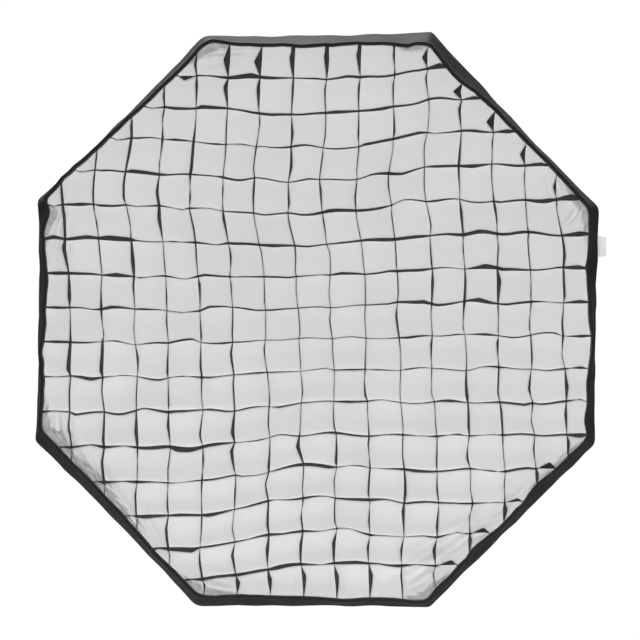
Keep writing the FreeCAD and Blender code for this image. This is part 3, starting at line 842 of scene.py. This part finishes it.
# How far the front edge of each upright strip leans out of its cell in the first two and the
# last two cells, in millimetres to the right, left to right across the grid.
TOP_LEAN = (-1, -1, -2, -2, -3, -10, -12, -8, -9, -8, -5, -10, -12, -13, -9, -7)
BELOW_TOP_LEAN = (-1, -1, -1, -2, -3, -7, -6, -2, -2, -3, -4, -4, -4, -3, -2, -2)
ABOVE_FOOT_LEAN = (-1, -1, -2, -2, -2, -4, -5, -3, -6, -4, -4, -6, -4, -2, -3, 4)
FOOT_LEAN = (3, 3, 3, 3, 5, 8, 7, 8, 8, 7, 2, -2, 4, 6, 4, 4)
TENTED = range(7, 11)  # the upright strips that stand open up to the top border
# How far the front edge of each level strip stands above its rear edge in its last cell at the
# right, in its first at the left, and all along, in millimetres, from the top strip down.
RIGHT_RISE = (6, 4, 5, 3, 8, 5, 4, 4, 4, 6, 3, -4, 12, 7, 10, 12)
LEFT_RISE = (-11, -3, -2, -2, -3, 2, 2, 2, 2, 2, 2, 2, 3, 4, 3, 3)
ROW_TILT = (2.0, 1.2, 1.0, 1.2, 1.6, 3.6, 2.4, 1.8, 1.2, -1.0, -1.6, -2.8, -0.8, -1.2, -1.4, -2.4)

STRIP_STEPS = 12  # points along a strip in each cell
STRIP_DEPTH = np.linspace(0, 1, 6)  # from the rear edge to the front edge
CALM_RADIUS = 0.33  # inside it the strips stand straighter, most of all in the middle


def kink(f, at):
    """1 at the kink and 0 at both crossings, straight in between."""
    return np.where(f < at, f / at, (1 - f) / (1 - at))


def hang_in_cell(rng, upright, height, reach):
    """How a strip hangs in one cell: its bulge, the lean of its front edge and the kink's place."""
    at = rng.choice([0.18, 0.3, 0.42, 0.62, 0.75])
    lean = rng.choice([0.0007, 0.0020, 0.0036, 0.0052], p=[0.38, 0.32, 0.22, 0.08])
    lean *= rng.choice([-1, 1], p=[0.62, 0.38] if upright else [0.4, 0.6]) * reach
    bulge = rng.normal(0, 0.0013 if upright else 0.0019) * reach
    if upright:
        low_half = smooth((0.1 - height) / 0.4)
        bulge -= 0.0022 * low_half * rng.uniform(0.3, 1.4) * reach
    return bulge, lean, at


def lean_by_border(upright, number, cell, from_last):
    """The lean and the kink's place in a cell next to the border, or None further in."""
    if upright:
        beside = ((from_last == 0, TOP_LEAN, 0.7 if number in TENTED else 0.5),
                  (from_last == 1, BELOW_TOP_LEAN, 0.7),
                  (cell == 0, FOOT_LEAN, 0.65), (cell == 1, ABOVE_FOOT_LEAN, 0.6))
    else:
        beside = ((from_last == 0, RIGHT_RISE, 0.7), (cell == 0, LEFT_RISE, 0.4))
    for here, table, at in beside:
        if here:
            return 0.001 * table[number], at
    return None


def strip_row(spot, across, to_end, upright):
    """The points through a strip's depth at one place. to_end is the way to its sewn end."""
    rear = GRID_REAR + (BORDER_REAR - GRID_REAR) * (1 - float(smooth(to_end / 0.009)))
    y = rear + (GRID_FRONT - rear) * STRIP_DEPTH
    x = spot[0] + (across if upright else 0 * STRIP_DEPTH)
    z = spot[1] + (0 * STRIP_DEPTH if upright else across)
    return np.stack([x, y, z], -1)


def strip_rows(rng, upright, number, line, crossings):
    """One strip from border to border. line gives the (x, z) of places along it."""
    low, high = span_of(line)
    knots = [low, *[c for c in crossings if low + 0.006 < c < high - 0.006], high]
    cells = len(knots) - 1
    twist_at = rng.normal(0, 0.0013, len(knots))
    twist_at[[0, -1]] *= 0.4
    tilt = 0.0 if upright else 0.001 * ROW_TILT[number]
    rows = []
    for cell in range(cells):
        last = cell == cells - 1
        width = knots[cell + 1] - knots[cell]
        middle = line(np.array([(knots[cell] + knots[cell + 1]) / 2]))[0]
        bulge, lean, at = hang_in_cell(rng, upright, float(middle[1]), min(1.0, width / 0.05))
        set_lean = lean_by_border(upright, number, cell, cells - 1 - cell)
        if set_lean:
            lean, at = set_lean
        for i in range(STRIP_STEPS + last):
            f = i / STRIP_STEPS
            spot = line(np.array([knots[cell] + width * f]))[0]
            tent = 0.85 * float(kink(f, at)) + 0.15 * math.sin(math.pi * f)
            if upright and last and number in TENTED:
                tent = max(tent, 0.7 * float(smooth(f / 0.5)))
            twist = twist_at[cell] * (1 - f) + twist_at[cell + 1] * f + tilt
            calm = 0.35 + 0.65 * float(smooth(np.hypot(*spot) / CALM_RADIUS))
            across = bulge * tent + calm * (twist * (STRIP_DEPTH - 0.5) + lean * tent * STRIP_DEPTH)
            to_end = min(f if cell == 0 else 1, 1 - f if last else 1) * width
            rows.append(strip_row(spot, across, to_end, upright))
    return np.array(rows)


def grid_strips(upright):
    """Sixteen ribbons of one direction, each a grid of points along and through its depth."""
    rng = np.random.default_rng(41 if upright else 42)
    places, crossings = (COLUMNS, np.sort(ROWS)) if upright else (ROWS, np.sort(COLUMNS))
    strips = []
    for number, own in enumerate(places):
        line = (lambda s: slack(own, s)) if upright else (lambda s: slack(s, own))
        strips.append(strip_rows(rng, upright, number, line, crossings))
    return strips


for upright, name in ((True, "upright"), (False, "level")):
    strips = grid_strips(upright)
    piece = cloth(f"grid_{name}", strips, GRID_CLOTH, "grid", thick=0.0006,
                  nodes=[f"grid_strips_{name}"])


# ---- the diffusers ----
def fold_height(flat, share, fold):
    """How far one fold lifts each (x, z) point of a sheet's ring."""
    x, z, turn, along, wide, size = fold
    a = math.radians(turn)
    u = (flat[:, 0] - x) * math.cos(a) + (flat[:, 1] - z) * math.sin(a)
    v = -(flat[:, 0] - x) * math.sin(a) + (flat[:, 1] - z) * math.cos(a)
    ridge = 1 + np.cos(2 * math.pi * (v + 0.1 * u) / wide + 3 * u / along)
    hush = np.exp(-((u / along) ** 2) - (v / (0.9 * wide)) ** 2)
    return size * ridge * hush * (1 - math.exp(-(((1 - share) / 0.01) ** 2)))


def panel_rows(edge, y, rounding, ripple, seed, count, folds=(), per_side=PER_SIDE):
    """Concentric rings of an octagonal sheet, from its edge to its middle, closest at the edge."""
    rows = []
    for share in 1 - 0.98 * np.linspace(0, 1, count) ** 1.5:
        flat, _ = octa(edge * share, rounding * share * CORNER_ROUND, per_side)
        points = at_y(flat, y)
        angle = np.arctan2(flat[:, 0], flat[:, 1])
        spokes = np.stack([np.cos(angle) * 0.5, np.sin(angle) * 0.5], -1)
        hem = math.exp(-(((1 - share) / 0.10) ** 2)) * (1 - math.exp(-(((1 - share) / 0.012) ** 2)))
        points[:, 1] += ripple * (
            1.0 * hem * waves(spokes, 0.045, seed)
            + 0.55 * hem * waves(spokes, 0.016, seed + 1)
            + 0.9 * (1 - share ** 4) * waves(flat, 0.30, seed + 2)
            + 0.35 * (1 - share ** 6) * waves(flat, 0.09, seed + 3)
        )
        for fold in folds:
            points[:, 1] += fold_height(flat, share, fold)
        rows.append(points)
    return np.array(rows)


# Folds in the front diffuser: place (x, z), direction in degrees, length, width and depth.
FOLDS = (
    (-0.392, -0.252, -46, 0.085, 0.028, 0.0050),
    (-0.438, -0.182, -60, 0.028, 0.024, 0.0045),
    (-0.300, -0.345, -46, 0.050, 0.024, 0.0035),
    (-0.166, -0.446, 3, 0.050, 0.025, 0.0035),
    (0.185, -0.412, 50, 0.060, 0.036, 0.0060),
    (0.262, -0.362, 44, 0.060, 0.030, 0.0035),
    (0.330, -0.300, 50, 0.080, 0.022, 0.0024),
    (-0.160, 0.448, 25, 0.040, 0.020, 0.0035),
    (-0.100, 0.455, 85, 0.020, 0.016, 0.0020),
    (0.435, 0.182, 75, 0.030, 0.020, 0.0035),
    (0.410, 0.230, 130, 0.025, 0.018, 0.0025),
    (-0.440, 0.150, 95, 0.080, 0.022, 0.0025),
)
# Where painted shade greys the front diffuser along its edge and in its corners, standing for the shade of
# the rim and of the folds there and for the black tape behind showing through: side, place along it,
# spread and width of the grey strip, in millimetres.
PAINTED_EDGE_SHADE = (
    (5, 168, 30, 21), (5, 60, 50, 14), (5, -178, 18, 9), (4, 172, 22, 8), (4, -186, 16, 8),
    (3, 180, 22, 10), (7, 184, 16, 13), (0, -186, 18, 12), (6, 170, 26, 10), (6, -178, 20, 10),
    (1, 180, 22, 8), (2, -172, 20, 9), (3, -120, 40, 5), (0, 176, 20, 7),
)


def painted_edge_shade(rows):
    """The painted shade of each point of a sheet: 1 where it is clear, less along the edge and in the
    corners, where shade and the tape behind darken it.
    """
    side, out, across = side_of(rows[..., 0], rows[..., 2])
    width = 0.0
    for own, place, spread, size in PAINTED_EDGE_SHADE:
        hill = 0.001 * size * np.exp(-(((1000 * across - place) / spread) ** 2) / 2)
        width = width + np.where(side == own, hill, 0)
    streaks = 1 + 0.25 * waves(np.stack([across, 8 * out], -1), 0.03, 71)
    cover = smooth((width * streaks - (out[0] - out) + 0.005) / 0.005) * smooth(width / 0.003)
    patchy = np.clip(0.85 + 0.2 * waves(np.stack([across, 5 * out], -1), 0.02, 72), 0, 1)
    return 1 - 0.50 * cover * patchy


def write_painted_shade(obj, shade_tones):
    """Writes a grey painted shade tone for each vertex, which a material that takes the mesh's tone
    multiplies its colour by.
    """
    layer = obj.data.color_attributes.new("tone", "FLOAT_COLOR", "POINT")
    layer.data.foreach_set("color", np.repeat(np.ravel(shade_tones), 4).astype(np.float32))


flat_front = panel_rows(BORDER_OUT - 0.0012, DIFFUSER_Y + 0.0016, 0.021, 0.0009, 51, count=84,
                        folds=FOLDS, per_side=60)
front_sheet = cloth("diffuser_cloth", [rim_wave(settle(flat_front))], DIFFUSION, "diffuser",
                    closed=True, thick=0.0003, nodes=["front_diffuser"],
                    cap=True)
# Painted shade along the front diffuser's edge and in its corners.
write_painted_shade(front_sheet, painted_edge_shade(flat_front))
flat_baffle = panel_rows(BAFFLE_EDGE, BAFFLE_Y - 0.0005, 0.012, 0.0012, 61, count=30)
inner_sheet = cloth("baffle_cloth", [flat_baffle], BAFFLE_CLOTH, "baffle", closed=True,
                    thick=0.0003, nodes=["baffle_sheet"], cap=True)


# ---- stage, light, camera ----
FLOOR_R, FLOOR_Z = 1.6, -1.0
AMBIENT = 0.08
# Soft light from the top, the back and the right: axis, where on it the light begins, strength.
SKY_LIGHT = (("Z", -0.2, 0.45), ("Y", 0.0, 0.55), ("X", 0.1, 0.25))
BACKDROP = 1.02  # what the camera sees behind the object


def floor():
    mesh = bpy.data.meshes.new("floor")
    ring = []
    for a in np.linspace(0, 2 * math.pi, 97)[:-1]:
        ring.append((FLOOR_R * math.cos(a), -0.2 + FLOOR_R * math.sin(a), FLOOR_Z))
    mesh.from_pydata(ring, [], [tuple(range(len(ring)))])
    disc = bpy.data.objects.new("floor", mesh)
    mesh.materials.append(surface("floor", *greys(0.78, 0.82), 0.8, ("grain", 0.02), 0.02))
    SCENE.collection.objects.link(disc)


def sky_level(tree):
    """The strength of the soft light from each direction."""
    place = node(tree, "TexCoord")
    split = node(tree, "SeparateXYZ")
    link(tree, place.outputs["Generated"], split.inputs["Vector"])
    total = None
    for axis, start, strength in SKY_LIGHT:
        part = node(tree, "MapRange", in_From_Min=start, in_From_Max=1.0, in_To_Max=strength)
        link(tree, split.outputs[axis], part.inputs["Value"])
        both = node(tree, "Math", operation="ADD")
        both.inputs[0].default_value = AMBIENT
        if total:
            link(tree, total, both.inputs[0])
        link(tree, part.outputs["Result"], both.inputs[1])
        total = both.outputs[0]
    return total


def sky():
    """Soft studio light all round, behind which the camera sees plain white."""
    world = bpy.data.worlds.new("studio")
    SCENE.world = world
    world.use_nodes = True
    tree = world.node_tree
    tree.nodes.clear()
    soft = node(tree, "Background")
    soft.inputs["Color"].default_value = (0.985, 0.99, 1.0, 1)
    link(tree, sky_level(tree), soft.inputs["Strength"])
    white = node(tree, "Background")
    white.inputs["Color"].default_value = (1, 1, 1, 1)
    white.inputs["Strength"].default_value = BACKDROP
    rays = node(tree, "LightPath")
    both = node(tree, "MixShader")
    link(tree, rays.outputs["Is Camera Ray"], both.inputs["Fac"])
    link(tree, soft.outputs["Background"], both.inputs[1])
    link(tree, white.outputs["Background"], both.inputs[2])
    link(tree, both.outputs["Shader"], node(tree, "OutputWorld").inputs["Surface"])


def lamp(name, place, aim, size, power):
    light = bpy.data.lights.new(name, "AREA")
    light.shape, light.size, light.energy = "DISK", size, power
    obj = bpy.data.objects.new(name, light)
    obj.location = place
    obj.rotation_mode = "QUATERNION"
    obj.rotation_quaternion = (Vector(aim) - Vector(place)).to_track_quat("-Z", "Y")
    SCENE.collection.objects.link(obj)


floor()
sky()
lamp("overhead", (-0.5, -0.46, 2.4), (0, -0.35, 0.1), 1.0, 260)
lamp("front", (0.0, -9.2, 0.1), (0, -0.4, 0), 1.4, 700)
SCENE.view_settings.view_transform = "Standard"
camera = bpy.data.objects.new("camera", bpy.data.cameras.new("camera"))
camera.data.sensor_width = 36.0
camera.data.lens = 267.2
camera.data.clip_end = 50.0
camera.location = (0.0064, FRONT - 8.0, 0.0027)
camera.rotation_euler = (math.pi / 2, 0, 0)
SCENE.collection.objects.link(camera)
SCENE.camera = camera
